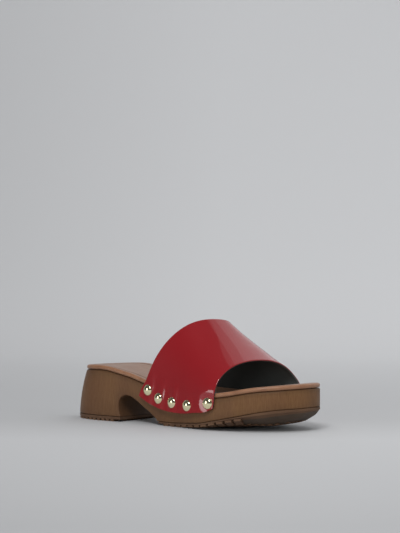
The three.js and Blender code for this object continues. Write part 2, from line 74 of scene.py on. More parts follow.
def line_through(at, value, even=False):
    """Smooth line through a table; an even one also keeps its bend from jumping at the rows."""
    at, value = np.asarray(at, float), np.asarray(value, float)
    rise = np.diff(value) / np.diff(at)
    slope = np.empty_like(value)
    slope[0], slope[-1] = rise[0], rise[-1]
    if even:
        size = len(at)
        matrix, right = np.eye(size), slope.copy()
        for i in range(1, size - 1):
            before, after = at[i] - at[i - 1], at[i + 1] - at[i]
            matrix[i, i - 1:i + 2] = after, 2 * (before + after), before
            right[i] = 3 * (after * rise[i - 1] + before * rise[i])
        matrix[0, :2], right[0] = (2, 1), 3 * rise[0]
        matrix[-1, -2:], right[-1] = (1, 2), 3 * rise[-1]
        slope = np.linalg.solve(matrix, right)
    else:
        both = rise[:-1] * rise[1:]
        total = np.where(both > 0, rise[:-1] + rise[1:], 1)
        slope[1:-1] = np.where(both > 0, 2 * both / total, 0)

    def line(x):
        x = np.clip(x, at[0], at[-1])
        i = np.clip(np.searchsorted(at, x) - 1, 0, len(at) - 2)
        span = at[i + 1] - at[i]
        t = (x - at[i]) / span
        ends = value[i] * (1 + 2 * t) * (1 - t) ** 2 + value[i + 1] * t * t * (3 - 2 * t)
        return ends + (slope[i] * t * (1 - t) ** 2 - slope[i + 1] * t * t * (1 - t)) * span
    return line


def table_line(rows, column, scale, even=True):
    return line_through([row[0] * LENGTH for row in rows], [row[column] * scale for row in rows], even)


outer_side = [(at * LENGTH, -outer * of) for at, outer, inner, of in OUTLINE]
inner_side = [(at * LENGTH, inner * of) for at, outer, inner, of in OUTLINE]
LOOP = np.array(outer_side + inner_side[:0:-1])
LAST_ROW = len(OUTLINE) - 1


def on_outline(side, row, inset=0):
    """Points of the platform's outline by table row, moved inwards square to it."""
    place = np.where(side < 0, row, len(LOOP) - np.asarray(row, float)) % len(LOOP)
    start = np.floor(place).astype(int)
    p = [LOOP[(start + k) % len(LOOP)] for k in (-1, 0, 1, 2)]
    t = (place - start)[..., None]
    gap = [np.sqrt(np.linalg.norm(p[k + 1] - p[k], axis=-1))[..., None] for k in range(3)]
    leave = ((p[1] - p[0]) / gap[0] - (p[2] - p[0]) / (gap[0] + gap[1]) + (p[2] - p[1]) / gap[1]) * gap[1]
    reach = ((p[2] - p[1]) / gap[1] - (p[3] - p[1]) / (gap[1] + gap[2]) + (p[3] - p[2]) / gap[2]) * gap[1]
    square = -3 * p[1] + 3 * p[2] - 2 * leave - reach
    cube = 2 * p[1] - 2 * p[2] + leave + reach
    point = p[1] + leave * t + square * t ** 2 + cube * t ** 3
    tangent = leave + 2 * square * t + 3 * cube * t ** 2
    tangent /= np.linalg.norm(tangent, axis=-1, keepdims=True)
    inward = np.stack([-tangent[..., 1], tangent[..., 0]], -1)
    return point + inward * np.asarray(inset, float)[..., None]


dense_rows = np.linspace(0, LAST_ROW, 1501)
side_points = {side: on_outline(side, dense_rows) for side in (-1, 1)}
side_x = {side: np.maximum.accumulate(side_points[side][:, 0] + 1e-7 * dense_rows) for side in (-1, 1)}
row_at = lambda side, x: np.interp(x, side_x[side], dense_rows)
half_width = lambda side, x: np.interp(x, side_x[side], np.abs(side_points[side][:, 1]))

top_line = lambda x: BALL_HEIGHT + heel_climb(x) + toe_climb(x)
heel_climb = table_line(TOP_LINE, 1, HEEL_HEIGHT - BALL_HEIGHT, even=False)
toe_climb = table_line(TOP_LINE, 2, TOE_HEIGHT - BALL_HEIGHT, even=False)
rim_line = table_line(UNDERSIDE, 1, TOE_SPRING, even=False)
middle_line = table_line(UNDERSIDE, 2, TOE_SPRING, even=False)
crown = lambda share: np.maximum(0, (np.abs(share) - FLAT_SHARE) / (1 - FLAT_SHARE)) ** CROWN_POWER
at_tip = lambda x, share: np.maximum(np.abs(share), 1 - (LENGTH - x) / TIP_ROUND)
underside = lambda x, share: middle_line(x) + (rim_line(x) - middle_line(x)) * crown(at_tip(x, share))
rubber_depth = lambda x, share: SOLE_RUBBER + (BAND_RUBBER - SOLE_RUBBER) * crown(at_tip(x, share))
rubber_top = lambda x, share: underside(x, share) + rubber_depth(x, share)


def flared(points):
    """The heel block leans back and widens towards its foot."""
    x, y, z = points[..., 0], points[..., 1], points[..., 2]
    flare = np.clip(1 - x / BREAST, 0, None) * np.clip(1 - (z / HEEL_HEIGHT) ** 2, 0, None)
    wider = 1 + HEEL_SIDE_FLARE * flare / (HEEL_WIDTH / 2)
    return np.stack([x - HEEL_FLARE * flare, y * wider, z], -1)


def lofted(name, rings, end_faces=None):
    """A mesh through rings of points; each end is closed by its own faces, or by joining halves."""
    count, size = rings.shape[:2]
    corner = np.arange(count * size).reshape(count, size)
    beside = np.roll(corner, -1, axis=1)
    faces = np.stack([corner[:-1], beside[:-1], beside[1:], corner[1:]], -1).reshape(-1, 4).tolist()
    halves = [(k, k + 1, size - 2 - k, size - 1 - k) for k in range(size // 2 - 1)]
    for face in end_faces or halves:
        faces.append(corner[0, list(face)[::-1]].tolist())
        faces.append(corner[-1, list(face)].tolist())
    mesh = bpy.data.meshes.new(name)
    mesh.from_pydata(((rings.reshape(-1, 3) + ORIGIN) * 0.001).tolist(), [], faces)
    return mesh


def ring_spot(mesh, size):
    """Which spot of its ring each point of a lofted mesh is, counted alike on both sides."""
    spot = np.arange(len(mesh.vertices)) % size
    return np.minimum(spot, size - 1 - spot)


def finished(name, mesh, sharp):
    """Closes the doubled points of a mesh, turns its faces out and puts it in the scene."""
    work = bmesh.new()
    work.from_mesh(mesh)
    bmesh.ops.remove_doubles(work, verts=work.verts, dist=2e-6)
    bmesh.ops.dissolve_degenerate(work, edges=work.edges, dist=1e-6)
    bmesh.ops.recalc_face_normals(work, faces=work.faces)
    work.to_mesh(mesh)
    work.free()
    mesh.shade_smooth()
    mesh.set_sharp_from_angle(angle=math.radians(sharp))
    piece = bpy.data.objects.new(name, mesh)
    bpy.context.scene.collection.objects.link(piece)
    return piece


def sole_layer(name, rows, section):
    """A layer of the sole from spots (share, inset, height) given from the top round the rim."""
    halves = []
    for side in (-1, 1):
        spots = []
        for share, inset, height in section:
            edge = on_outline(side, rows, inset)
            middle = (edge + on_outline(-side, rows, inset)) / 2
            flat = middle + (edge - middle) * share
            spots.append(np.column_stack([flat, height(flat[:, 0], share) + 0 * flat[:, 0]]))
        halves.append(np.stack(spots, 1))
    return lofted(name, flared(np.concatenate([halves[0], halves[1][:, ::-1]], 1)))


# Stations along the moulding: each joins a place on the underside, up the heel's breast and over
# the arch, to a place on the top, so the side walls fan out over the arch.
WOOD_HEEL = HEEL_RUBBER + GAP
WOOD_SOLE = SOLE_RUBBER + GAP
BACK_BEND, BREAST_STEPS, ARCH_STEPS, CREST_STEP, SLOPE_STEP = 6, 8, 61, 16, 27
# places on the top that belong to the breast, the crest of the arch and its slope
OVER_BREAST, OVER_CREST, OVER_SLOPE = 34, 57, 72
arch_x = BREAST + np.array([row[0] for row in ARCH]) * ARCH_SPAN
arch_z = np.array([row[1] for row in ARCH]) * ARCH_HEIGHT
steps = np.linspace(0, len(ARCH) - 1, ARCH_STEPS)
arch_points = np.column_stack([line_through(np.arange(len(ARCH)), line, even=True)(steps)
                               for line in (arch_x, arch_z)])
arch_points = arch_points[arch_points[:, 1] > WOOD_SOLE + 0.4]
SOLE_CORNER = arch_points[-1, 0] + 0.7
heel_run = BREAST * np.linspace(0, 1, 44) ** 2
heel_run = np.concatenate([heel_run[heel_run < BACK_BEND], np.linspace(BACK_BEND, BREAST, 26)])
toe_run = LENGTH - (LENGTH - SOLE_CORNER) * np.linspace(1, 0, 90) ** 1.6
breast_foot = np.array([BREAST, WOOD_HEEL])
breast_run = breast_foot + (arch_points[0] - breast_foot) * np.linspace(0, 1, BREAST_STEPS)[1:-1, None]
under_x = np.concatenate([heel_run, breast_run[:, 0], arch_points[:, 0], toe_run])
# below zero, a station's height follows the forefoot rubber
under_z = np.concatenate([0 * heel_run + WOOD_HEEL, breast_run[:, 1], arch_points[:, 1], 0 * toe_run - 1])
arch_start = len(heel_run) + len(breast_run)
turning = [len(heel_run) - 1, arch_start + CREST_STEP, arch_start + SLOPE_STEP, arch_start + len(arch_points)]
fan = slice(turning[0], turning[3] + 1)
over_x = under_x.copy()
over_x[:len(heel_run)] = heel_run * (OVER_BREAST / BREAST)
over_x[fan] = line_through(turning, [OVER_BREAST, OVER_CREST, OVER_SLOPE, under_x[turning[3]]])(
    np.arange(fan.start, fan.stop))


def under_height(x, share):
    return np.where(under_z < 0, rubber_top(x, share) + GAP, under_z)


TOP_SHARES, BEND, WALL_STEPS = (0.04, 0.25, 0.5, 0.75, 0.9, 1), (22, 45, 67), 15
UNDER_SHARES = (1, 0.93, 0.85, 0.75, 0.65, 0.5, 0.35, 0.2, 0.04)


def wood_rings():
    """Rings of the moulding at its stations, from the top round the rim to the underside."""
    halves = []
    for side in (-1, 1):
        spots = []

        def spot(x, share, inset, height):
            edge = on_outline(side, row_at(side, x), inset)
            middle = (edge + on_outline(-side, row_at(-side, x), inset)) / 2
            flat = middle + (edge - middle) * share
            spots.append(np.column_stack([flat, height(flat[:, 0], share)]))

        for share in TOP_SHARES:
            spot(over_x, share, EDGE_ROUND, lambda x, s: top_line(x))
        for angle in np.radians(BEND):
            inset, drop = EDGE_ROUND * (1 - math.sin(angle)), EDGE_ROUND * (1 - math.cos(angle))
            spot(over_x, 1, inset, lambda x, s: top_line(x) - drop)
        high, low = top_line(over_x) - EDGE_ROUND, under_height(under_x, 1) + ARCH_ROUND
        for t in np.linspace(0, 1, WALL_STEPS):
            spot(over_x + (under_x - over_x) * t, 1, 0, lambda x, s: high + (low - high) * t)
        for angle in np.radians(BEND[::-1]):
            inset, rise = ARCH_ROUND * (1 - math.sin(angle)), ARCH_ROUND * (1 - math.cos(angle))
            spot(under_x, 1, inset, lambda x, s: under_height(x, 1) + rise)
        for share in UNDER_SHARES:
            spot(under_x, share, ARCH_ROUND, under_height)
        halves.append(np.stack(spots, 1))
    return flared(np.concatenate([halves[0], halves[1][:, ::-1]], 1))


def new_material(name, color, roughness, metallic=0, **sockets):
    """A Principled material with plain numbers on its own sockets; patterns are added after."""
    material = bpy.data.materials.new(name)
    material.use_nodes = True
    shader = material.node_tree.nodes["Principled BSDF"]
    shader.inputs["Base Color"].default_value = (*color, 1)
    shader.inputs["Roughness"].default_value = roughness
    shader.inputs["Metallic"].default_value = metallic
    for socket, value in sockets.items():
        shader.inputs[socket.replace("_", " ")].default_value = value
    return material, material.node_tree, shader


def add_node(tree, kind, links=(), **settings):
    """A node with its settings, its plain inputs, and its linked inputs."""
    node = tree.nodes.new(kind)
    inputs = settings.pop("inputs", {})
    for name, value in settings.items():
        setattr(node, name, value)
    for name, value in inputs.items():
        node.inputs[name].default_value = value
    for name, socket in dict(links).items():
        tree.links.new(socket, node.inputs[name])
    return node


def product(tree, first, second):
    """Two colours or vectors multiplied."""
    return add_node(tree, "ShaderNodeVectorMath", {0: first, 1: second}, operation="MULTIPLY").outputs[0]


def ranged(tree, value, span, result, **settings):
    """A value carried from one span over to another."""
    plain = {"From Min": span[0], "From Max": span[1], "To Min": result[0], "To Max": result[1]}
    return add_node(tree, "ShaderNodeMapRange", {"Value": value}, inputs=plain, **settings).outputs[0]


def two_tones(tree, pattern, dark, light):
    """A pattern's middle spread between two colours."""
    ramp = add_node(tree, "ShaderNodeValToRGB", {"Fac": pattern})
    for stop, position, color in zip(ramp.color_ramp.elements, (0.3, 0.7), (dark, light)):
        stop.position, stop.color = position, (*color, 1)
    return ramp.outputs["Color"]


def streak_group():
    """Streaks stretched along one direction, with a slower drift of tone across them."""
    tree = bpy.data.node_groups.new("streaks", "ShaderNodeTree")
    for name, kind, value in (("Stretch", "NodeSocketVector", (1, 1, 1)),
                              ("Fineness", "NodeSocketFloat", 400), ("Drift", "NodeSocketFloat", 30)):
        tree.interface.new_socket(name, in_out="INPUT", socket_type=kind).default_value = value
    tree.interface.new_socket("Streaks", in_out="OUTPUT", socket_type="NodeSocketFloat")
    tree.interface.new_socket("Tone", in_out="OUTPUT", socket_type="NodeSocketFloat")
    enter, leave = tree.nodes.new("NodeGroupInput"), tree.nodes.new("NodeGroupOutput")
    drawn = product(tree, add_node(tree, "ShaderNodeTexCoord").outputs["Object"], enter.outputs["Stretch"])
    fine = add_node(tree, "ShaderNodeTexNoise", {"Vector": drawn, "Scale": enter.outputs["Fineness"]},
                    inputs={"Detail": 4, "Roughness": 0.6, "Distortion": 0.3})
    slow = add_node(tree, "ShaderNodeTexNoise", {"Vector": drawn, "Scale": enter.outputs["Drift"]},
                    inputs={"Detail": 2, "Roughness": 0.5})
    tree.links.new(fine.outputs["Fac"], leave.inputs["Streaks"])
    tree.links.new(slow.outputs["Fac"], leave.inputs["Tone"])
    return tree


STREAKS = streak_group()


def streaks(tree, fineness, drift, stretch=(1, 1, 1)):
    """The streaks and the tone of the shared pattern, at one piece's own scale."""
    return add_node(tree, "ShaderNodeGroup", node_tree=STREAKS,
                    inputs={"Stretch": stretch, "Fineness": fineness, "Drift": drift}).outputs


def bumped(tree, shader, height, strength, distance):
    """A fine relief from a pattern, its depth in metres."""
    bump = add_node(tree, "ShaderNodeBump", {"Height": height}, inputs={"Strength": strength, "Distance": distance})
    tree.links.new(bump.outputs["Normal"], shader.inputs["Normal"])


def wood_finish():
    material, tree, shader = new_material("wood_grain_and_painted_shade", (0.1, 0.06, 0.03), 0.5,
                                          Specular_IOR_Level=0.25)
    grain = streaks(tree, 1100, 28, stretch=(1, 1, 0.1))
    tones = two_tones(tree, grain["Streaks"], (0.122, 0.057, 0.024), (0.17, 0.084, 0.037))
    cast = two_tones(tree, grain["Tone"], (0.84, 0.82, 0.9), (1.1, 1.14, 1.06))
    # the attribute read here is painted shade: darker along the top edge, the foot of the sides and the arch
    edge = add_node(tree, "ShaderNodeAttribute", attribute_name="edge_shade")
    darker = ranged(tree, edge.outputs["Fac"], (0, 1), (1, 0.5))
    tree.links.new(product(tree, product(tree, tones, cast), darker), shader.inputs["Base Color"])
    bumped(tree, shader, grain["Streaks"], 0.35, 0.0004)
    return material


# spot of the ring, how much painted shade darkens it there
EDGE_SHADES = [(5, 1), (7, 1), (9, 0.35), (12, 0), (17, 0), (24, 0.4), (28, 0.4), (29, 0.7)]
wood_shell = wood_rings()
platform_mesh = lofted("platform_moulding", wood_shell)
edge_shade = np.interp(ring_spot(platform_mesh, wood_shell.shape[1]), *np.transpose(EDGE_SHADES))
platform_mesh.attributes.new("edge_shade", "FLOAT", "POINT").data.foreach_set("value", edge_shade)
platform = finished("platform_moulding", platform_mesh, sharp=40)
platform.data.materials.append(wood_finish())
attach(platform, "root")
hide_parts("platform")

# Insole: a thin board with tan leather rolled over its edge, cupped a little under the heel, with
# a line pressed into the leather all round, well inside the rolled edge.
INSOLE_THICKNESS, ROLL_WIDTH, HEEL_CUP, CUP_LENGTH = 4.45, 2.2, 1.4, 88
PRESSED_LINE, PRESSED_DEPTH, PRESSED_WIDTH, CUP_REACH, INNER_INSET = 6.5, 0.5, 1.8, 33, 12
TOP_INSETS = (12, 10, 8.6, 7.9, 7.4, 6.95, 6.5, 6.05, 5.6, 5.1, 4.4, 3.2)
insole_top = lambda x: top_line(x) + INSOLE_THICKNESS
pressed = lambda inset: np.exp(-((inset - PRESSED_LINE) / (PRESSED_WIDTH / 2)) ** 2)


def footbed(inset):
    """Height of the top of the insole at one distance from its edge."""
    def height(x, share):
        cup = HEEL_CUP * np.clip(1 - (2 * x / CUP_LENGTH - 1) ** 2, 0, None)
        away = 1 - np.clip((inset + CUP_REACH * (1 - share)) / CUP_REACH, 0, 1)
        return insole_top(x) - cup * (1 - away ** 2) - PRESSED_DEPTH * pressed(inset)
    return height


insole_up = lambda part: (lambda x, share: top_line(x) + GAP + part * (INSOLE_THICKNESS - GAP))
insole_section = [(share, INNER_INSET, footbed(INNER_INSET)) for share in (0.05, 0.3, 0.55, 0.8)]
insole_section += [(1, inset, footbed(inset)) for inset in TOP_INSETS]
TOP_SPOTS = len(insole_section)
for angle in np.linspace(0, 165, 12):
    swing = math.radians(angle)
    roll = ROLL_WIDTH * (1 - math.sin(swing)) * (1 if angle < 90 else 0.7)
    insole_section.append((1, roll, insole_up(0.5 + 0.5 * math.cos(swing))))
insole_section += [(share, 3, insole_up(0)) for share in (1, 0.6, 0.05)]
insole_rows = np.concatenate([np.linspace(0, 1, 13)[:-1] ** 1.2, np.linspace(1, LAST_ROW - 1, 118),
                              LAST_ROW - 1 + np.linspace(0, 1, 13)[1:]])


def leather_finish():
    dark, light = (0.24, 0.115, 0.062), (0.33, 0.17, 0.095)
    material, tree, shader = new_material("tan_insole_leather", dark, 0.45, Coat_Weight=0.25,
                                          Coat_Roughness=0.35)
    place = add_node(tree, "ShaderNodeTexCoord").outputs["Object"]
    pores = add_node(tree, "ShaderNodeTexVoronoi", {"Vector": place}, inputs={"Scale": 1400})
    tones = two_tones(tree, streaks(tree, 160, 35)["Streaks"], dark, light)
    # the attribute read here holds painted shade in the pressed line and a painted grey sheen on the top
    line = add_node(tree, "ShaderNodeAttribute", attribute_name="line_shade_and_sheen")
    tree.links.new(product(tree, tones, line.outputs["Vector"]), shader.inputs["Base Color"])
    bumped(tree, shader, pores.outputs["Distance"], 0.3, 0.00008)
    return material


# Painted light on the leather: the pressed line is painted darker as shade in its groove, and the top is painted a
# cooler grey than the rolled rim as a sheen.
LINE_SHADE, RIM_CAST, TOP_SHEEN = 0.6, np.array([0.93, 0.88, 0.82]), np.array([0.92, 0.98, 1.08])
insole_mesh = sole_layer("insole_leather", insole_rows, insole_section)
column = ring_spot(insole_mesh, 2 * len(insole_section))
inset = np.array([spot[1] for spot in insole_section])[column]
on_top = column < TOP_SPOTS
dark = 1 - LINE_SHADE * pressed(inset) * on_top
pale = np.where(on_top, np.interp(inset, [2.4, 3.2], [0.0, 1.0]), 0)[:, None]
line_shade_and_sheen = dark[:, None] * (RIM_CAST * (1 - pale) + TOP_SHEEN * pale)
insole_mesh.attributes.new("line_shade_and_sheen", "FLOAT_VECTOR", "POINT").data.foreach_set("vector", line_shade_and_sheen.ravel())
insole = finished("insole_leather", insole_mesh, sharp=60)
insole.data.materials.append(leather_finish())
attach(insole, "root")
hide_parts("insole")

# Rubber outsoles: a slab under the heel and a thin crowned layer under the forefoot, glued on.
# Short ribs stand all round their rims and rows of low studs cover the ground between them.
HEEL_RIB, SOLE_RIB, RIB_REACH, RIB_GAP, HEEL_PITCH, SOLE_PITCH = 1.9, 1.5, 8, 2, 5.8, 8.4
STUD, STUD_PITCH, RIBS_END, STUDS_END, SINK, CORNER = 3.6, 5.4, 214, 236, 0.3, 0.7
FADE_END, FADE_LENGTH, LEAST_RIB = 232, 24, 0.35
SOLE_BACK = BREAST + ARCH_SPAN
heel_rows = np.concatenate([np.linspace(0, 1, 12)[:-1] ** 1.2, np.linspace(1, row_at(-1, BREAST), 30)])
heel_section = [(share, 0.8, lambda x, s: HEEL_RUBBER) for share in (0.05, 0.5, 1)]
heel_section += [(1, 0, lambda x, s: HEEL_RUBBER), (1, 0, lambda x, s: HEEL_RIB + 0.4)]
heel_section += [(1, 0.15, lambda x, s: HEEL_RIB + 0.1), (1, 0.5, lambda x, s: HEEL_RIB)]
heel_section += [(share, 0.5, lambda x, s: HEEL_RIB) for share in (0.5, 0.05)]


def rubber_finish(name, dark, light):
    material, tree, shader = new_material(name, dark, 0.62, Specular_IOR_Level=0.3)
    grit = streaks(tree, 900, 50)
    tree.links.new(two_tones(tree, grit["Tone"], dark, light), shader.inputs["Base Color"])
    bumped(tree, shader, grit["Streaks"], 0.4, 0.0002)
    return material


RUBBER = rubber_finish("brown_rubber", (0.085, 0.043, 0.023), (0.13, 0.07, 0.038))
# the forefoot's ground face gets a darker, greyer rubber: painted shade for the underside turned away from the light
SHADED_TREAD = rubber_finish("shaded_brown_tread", (0.055, 0.036, 0.024), (0.08, 0.053, 0.035))
heel_rubber = finished("heel_rubber_slab", sole_layer("heel_rubber_slab", heel_rows, heel_section), sharp=40)
heel_rubber.data.materials.append(RUBBER)
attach(heel_rubber, "root")
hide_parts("heel_rubber")

sole_rows = np.concatenate([np.linspace(row_at(-1, SOLE_BACK - 6), LAST_ROW - 1, 90),
                            LAST_ROW - 1 + np.linspace(0, 1, 13)[1:]])
GROUND_SHARES = (0.93, 0.85, 0.75, 0.65, 0.5, 0.35, 0.2, 0.05)
rib_fade = lambda x: SOLE_RIB * np.clip((FADE_END - x) / FADE_LENGTH, LEAST_RIB, 1)
sole_section = [(share, 0, rubber_top) for share in (0.05, 0.35, 0.55, 0.75, 0.9, 1)]
sole_section += [(1, 0, lambda x, s: rim_line(x) + rib_fade(x) + 0.6),
                 (1, 0.2, lambda x, s: rim_line(x) + rib_fade(x) + 0.2),
                 (1, 0.7, lambda x, s: rim_line(x) + rib_fade(x))]
sole_section += [(share, 0.7, lambda x, s: underside(x, s) + rib_fade(x)) for share in GROUND_SHARES]
sole_mesh = sole_layer("forefoot_rubber_layer", sole_rows, sole_section)
ring_size = 2 * len(sole_section)
side_face = np.arange((len(sole_rows) - 1) * ring_size) % ring_size
ground = np.zeros(len(sole_mesh.polygons), int)
ground[:len(side_face)] = np.abs(side_face - (len(sole_section) - 1)) < len(GROUND_SHARES)
sole_mesh.polygons.foreach_set("material_index", ground)
sole_rubber = finished("forefoot_rubber_layer", sole_mesh, sharp=40)
sole_rubber.data.materials.append(RUBBER)
sole_rubber.data.materials.append(SHADED_TREAD)
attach(sole_rubber, "root")
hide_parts("forefoot_rubber")


def growing_tree(name, sizes, material):
    """A tree for points, sizes and a material, with the sockets it is given and its end node."""
    tree = bpy.data.node_groups.new(name, "GeometryNodeTree")
    tree.interface.new_socket("Geometry", in_out="INPUT", socket_type="NodeSocketGeometry")
    for size in sizes:
        tree.interface.new_socket(size, in_out="INPUT", socket_type="NodeSocketFloat")
    tree.interface.new_socket(material, in_out="INPUT", socket_type="NodeSocketMaterial")
    tree.interface.new_socket("Geometry", in_out="OUTPUT", socket_type="NodeSocketGeometry")
    return tree, tree.nodes.new("NodeGroupInput").outputs, tree.nodes.new("NodeGroupOutput")


def on_points(tree, points, piece, material):
    """A piece on each point, turned by the point's own turn, made real and painted."""
    turn = add_node(tree, "GeometryNodeInputNamedAttribute", data_type="FLOAT_VECTOR", inputs={"Name": "turn"})
    placed = add_node(tree, "GeometryNodeInstanceOnPoints",
                      {"Points": points, "Instance": piece, "Rotation": turn.outputs["Attribute"]})
    real = add_node(tree, "GeometryNodeRealizeInstances", {"Geometry": placed.outputs[0]})
    return add_node(tree, "GeometryNodeSetMaterial", {"Geometry": real.outputs[0], "Material": material}).outputs[0]


def block_tree():
    """Rubber blocks with rounded corners."""
    tree, given, leave = growing_tree("rubber_blocks", ("Length", "Width", "Height", "Corner"), "Rubber")
    plan = add_node(tree, "GeometryNodeCurvePrimitiveQuadrilateral",
                    {"Width": given["Length"], "Height": given["Width"]})
    rounded = add_node(tree, "GeometryNodeFilletCurve", {"Curve": plan.outputs[0], "Radius": given["Corner"]},
                       mode="POLY", inputs={"Count": 3})
    sheet = add_node(tree, "GeometryNodeFillCurve", {"Curve": rounded.outputs[0]}, mode="NGONS")
    flip = add_node(tree, "GeometryNodeFlipFaces", {"Mesh": sheet.outputs[0]})
    raised = add_node(tree, "GeometryNodeExtrudeMesh",
                      {"Mesh": sheet.outputs[0], "Offset Scale": given["Height"]}, inputs={"Individual": False})
    both = add_node(tree, "GeometryNodeJoinGeometry")
    tree.links.new(flip.outputs[0], both.inputs[0])
    tree.links.new(raised.outputs["Mesh"], both.inputs[0])
    closed = add_node(tree, "GeometryNodeMergeByDistance", {"Geometry": both.outputs[0]}, inputs={"Distance": 1e-6})
    tree.links.new(on_points(tree, given["Geometry"], closed.outputs[0], given["Rubber"]), leave.inputs[0])
    return tree


def grown(name, points, turns, tree, values):
    """A plain mesh from a tree of nodes that sets pieces on points, each with its own turn."""
    mesh = bpy.data.meshes.new(name + "_points")
    mesh.from_pydata(((np.asarray(points) + ORIGIN) * 0.001).tolist(), [], [])
    mesh.attributes.new("turn", "FLOAT_VECTOR", "POINT").data.foreach_set("vector", np.ravel(turns))
    holder = bpy.data.objects.new(name + "_points", mesh)
    bpy.context.scene.collection.objects.link(holder)
    modifier = holder.modifiers.new("grow", "NODES")
    modifier.node_group = tree
    for item in tree.interface.items_tree:
        if item.item_type == "SOCKET" and item.in_out == "INPUT" and item.name in values:
            modifier[item.identifier] = values[item.name]
    ready = bpy.context.evaluated_depsgraph_get()
    result = bpy.data.meshes.new_from_object(holder.evaluated_get(ready))
    bpy.data.objects.remove(holder)
    piece = bpy.data.objects.new(name, result)
    bpy.context.scene.collection.objects.link(piece)
    return piece


def turn_to(along, out):
    """Turn that lays a block's length along one direction and its height along another."""
    up = Vector(out).normalized()
    side = up.cross(Vector(along)).normalized()
    return Matrix((side.cross(up), side, up)).transposed().to_euler()


def rim_blocks(pitch, first_x, last_x, level):
    """Places and turns of ribs along both rims, square to them and standing out underneath."""
    spots, block_turns = [], []
    for side in (-1, 1):
        run = on_outline(side, np.linspace(0, LAST_ROW, 1200), RIB_REACH / 2)
        run = flared(np.column_stack([run, 0 * run[:, 0]]))
        run = run[(run[:, 0] > first_x) & (run[:, 0] < last_x)]
        walked = np.concatenate([[0], np.cumsum(np.linalg.norm(np.diff(run, axis=0), axis=1))])
        for walk in np.arange(pitch / 2, walked[-1] - pitch * 0.4, pitch):
            here, before, after = (np.array([np.interp(w, walked, run[:, k]) for k in (0, 1)])
                                   for w in (walk, walk - 1, walk + 1))
            spots.append((*here, level(*here)))
            block_turns.append(turn_to((*(after - before), 0), (*slope_at(level, *here), -1)))
    return spots, block_turns


def stud_blocks(inset, first_x, last_x, level):
    """Places and turns of studs in staggered rows inside the ribs."""
    spots, block_turns = [], []
    for k, x in enumerate(np.arange(first_x, last_x, STUD_PITCH)):
        for y in np.arange(-9, 10) * STUD_PITCH + (k % 2) * STUD_PITCH / 2:
            side = -1 if y < 0 else 1
            if abs(y) < float(half_width(side, x + STUD_PITCH)) - inset:
                spots.append((x, y, level(x, y)))
                block_turns.append(turn_to((1, 0, 0), (*slope_at(level, x, y), -1)))
    return spots, block_turns


slope_at = lambda level, x, y: ((level(x + 1, y) - level(x - 1, y)) / 2,
                                (level(x, y + 1) - level(x, y - 1)) / 2)
heel_level = lambda x, y: HEEL_RIB


def sole_level(x, y):
    share = min(abs(y) / max(float(half_width(-1 if y < 0 else 1, x)), 1), 1)
    return float(underside(np.array(x), share) + rib_fade(x))


BLOCKS = block_tree()
for name, (spots, block_turns), long, wide, high in (
        ("heel_ribs", rim_blocks(HEEL_PITCH, -20, BREAST - 5, heel_level),
         HEEL_PITCH - RIB_GAP, RIB_REACH, HEEL_RIB),
        ("forefoot_ribs", rim_blocks(SOLE_PITCH, SOLE_BACK, RIBS_END, sole_level),
         SOLE_PITCH - RIB_GAP, RIB_REACH, SOLE_RIB),
        ("heel_studs", stud_blocks(RIB_REACH + 3, 4, BREAST - 4, heel_level), STUD, STUD, HEEL_RIB - 0.3),
        ("forefoot_studs", stud_blocks(RIB_REACH + 2, SOLE_BACK + 4, STUDS_END, sole_level), STUD, STUD, 0.6)):
    blocks = grown(name, np.array(spots) + [0, 0, SINK], block_turns, BLOCKS, {
        "Length": long * 0.001, "Width": wide * 0.001, "Height": (high + SINK) * 0.001,
        "Corner": CORNER * 0.001, "Rubber": RUBBER})
    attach(blocks, "root")

# Band: one wide strap of patent leather over the instep, lined in black and cut with clean edges.
# It is pulled tight at each nail, so it puckers between the nails and dips round the front one.
WALL, INSTEP_RISE, TOE_RISE, RIDGE_SHIFT, SKIRT = 1.8, 64.7, 24.1, 12, 14
FULLNESS = {-1: 1.75, 1: 1.95}
SKIRT_TURN, HALF_TURN = 25, 180
# at, rise at the instep, rise at the toes, shift of the ridge
RIDGE = [(0.34, 1.728, 0, 0.88), (0.38, 1.625, 0, 0.91), (0.45, 1.44, 0, 0.95), (0.52, 1.245, 0, 0.99),
         (0.603, 1, 0, 1.04), (0.68, 0.5, 0.7, 1.09), (0.754, 0.15, 1, 1.13), (0.799, 0, 1, 1.16),
         (0.86, 0, 0.45, 1.2)]
# turn, back edge, front edge
BAND_EDGES = [(-25, 0.353, 0.728), (0, 0.383, 0.733), (30, 0.463, 0.744), (60, 0.551, 0.772),
              (78, 0.59, 0.79), (97, 0.605, 0.803), (120, 0.585, 0.811), (150, 0.507, 0.819),
              (180, 0.388, 0.834), (205, 0.352, 0.83)]
# along the skirt, how far down its edge is
SKIRT_EDGE = [(0, 0.8), (0.12, 0.97), (0.3, 1.04), (0.5, 1), (0.65, 0.92), (0.8, 0.8), (0.93, 0.76), (1, 0.6)]
# along the skirt, how far down each nail is
NAILS = [(0.12, 0.2), (0.27, 0.435), (0.462, 0.42), (0.677, 0.41), (0.94, 0.26)]

band_turns = [row[0] for row in BAND_EDGES]
band_back = line_through(band_turns, [row[1] * LENGTH for row in BAND_EDGES], even=True)
band_front = line_through(band_turns, [row[2] * LENGTH for row in BAND_EDGES], even=True)
skirt_drop = line_through([row[0] for row in SKIRT_EDGE], [row[1] * SKIRT for row in SKIRT_EDGE], even=True)
instep_part = table_line(RIDGE, 1, INSTEP_RISE)
toe_part = table_line(RIDGE, 2, TOE_RISE)
ridge_shift = table_line(RIDGE, 3, RIDGE_SHIFT)
side_slope = lambda side, x: (half_width(side, x + 4) - half_width(side, x - 4)) / 8
beside_side = lambda side, x, clear: half_width(side, x) + clear * np.hypot(1, side_slope(side, x))


